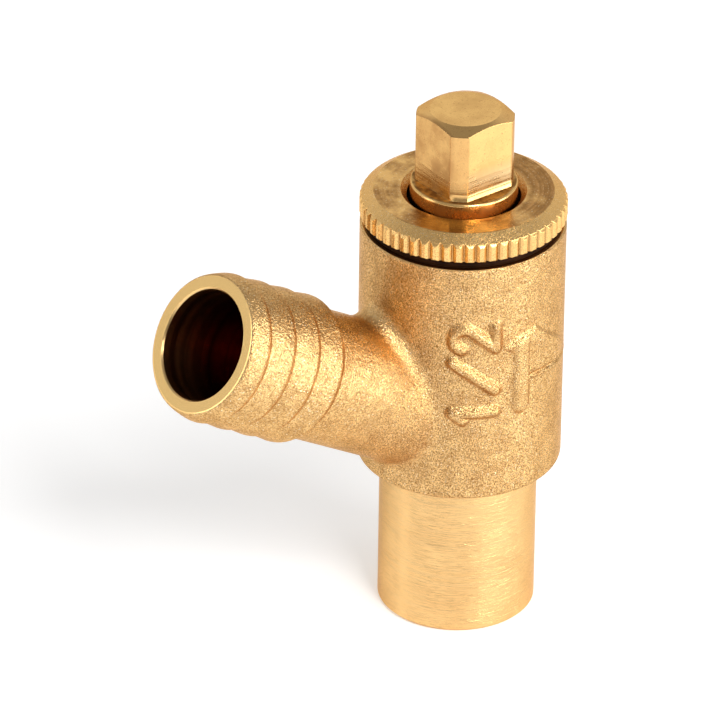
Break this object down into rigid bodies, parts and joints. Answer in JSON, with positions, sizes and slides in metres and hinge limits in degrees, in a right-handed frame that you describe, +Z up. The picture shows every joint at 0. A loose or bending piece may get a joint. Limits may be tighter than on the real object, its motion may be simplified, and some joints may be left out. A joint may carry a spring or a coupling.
{
  "type": "drain cock",
  "caption": "Brass drain cock with a plain pipe spigot, slanted ribbed hose tail, knurled gland nut and a square-headed screw-down spindle.",
  "frame": {"origin": "centre of the spigot's end face", "axes": "+Z up the spindle axis towards the square head; the hose tail leaves the barrel along -X and upwards; Y across"},
  "size_m": [0.0426, 0.0194, 0.0527],
  "materials": {
    "cast_brass": "blasted casting, with turned spigot and mouth",
    "turned_brass": "turned and milled",
    "black_rubber": "matte"
  },
  "bodies": {
    "valve_body": {"body": "cast_brass", "gland_nut": "turned_brass", "gland_seal": "black_rubber", "stem_seal": "black_rubber"},
    "washer_carrier": {"jumper": "turned_brass", "seat_washer": "black_rubber", "washer_nut": "turned_brass"},
    "spindle": {"spindle": "turned_brass"}
  },
  "joints": [
    {"name": "washer_lift", "type": "slide", "parent": "valve_body", "child": "washer_carrier", "axis": [0, 0, 1], "range_m": [0, 0.004]},
    {"name": "spindle_turn", "type": "hinge", "parent": "washer_carrier", "child": "spindle", "pos_m": [0, 0, 0.04535], "axis": [0, 0, 1], "range_deg": [0, 960]}
  ],
  "couplings": [
    {"joint": "spindle_turn", "follows": "washer_lift", "rad_per_m": 4188.8}
  ]
}
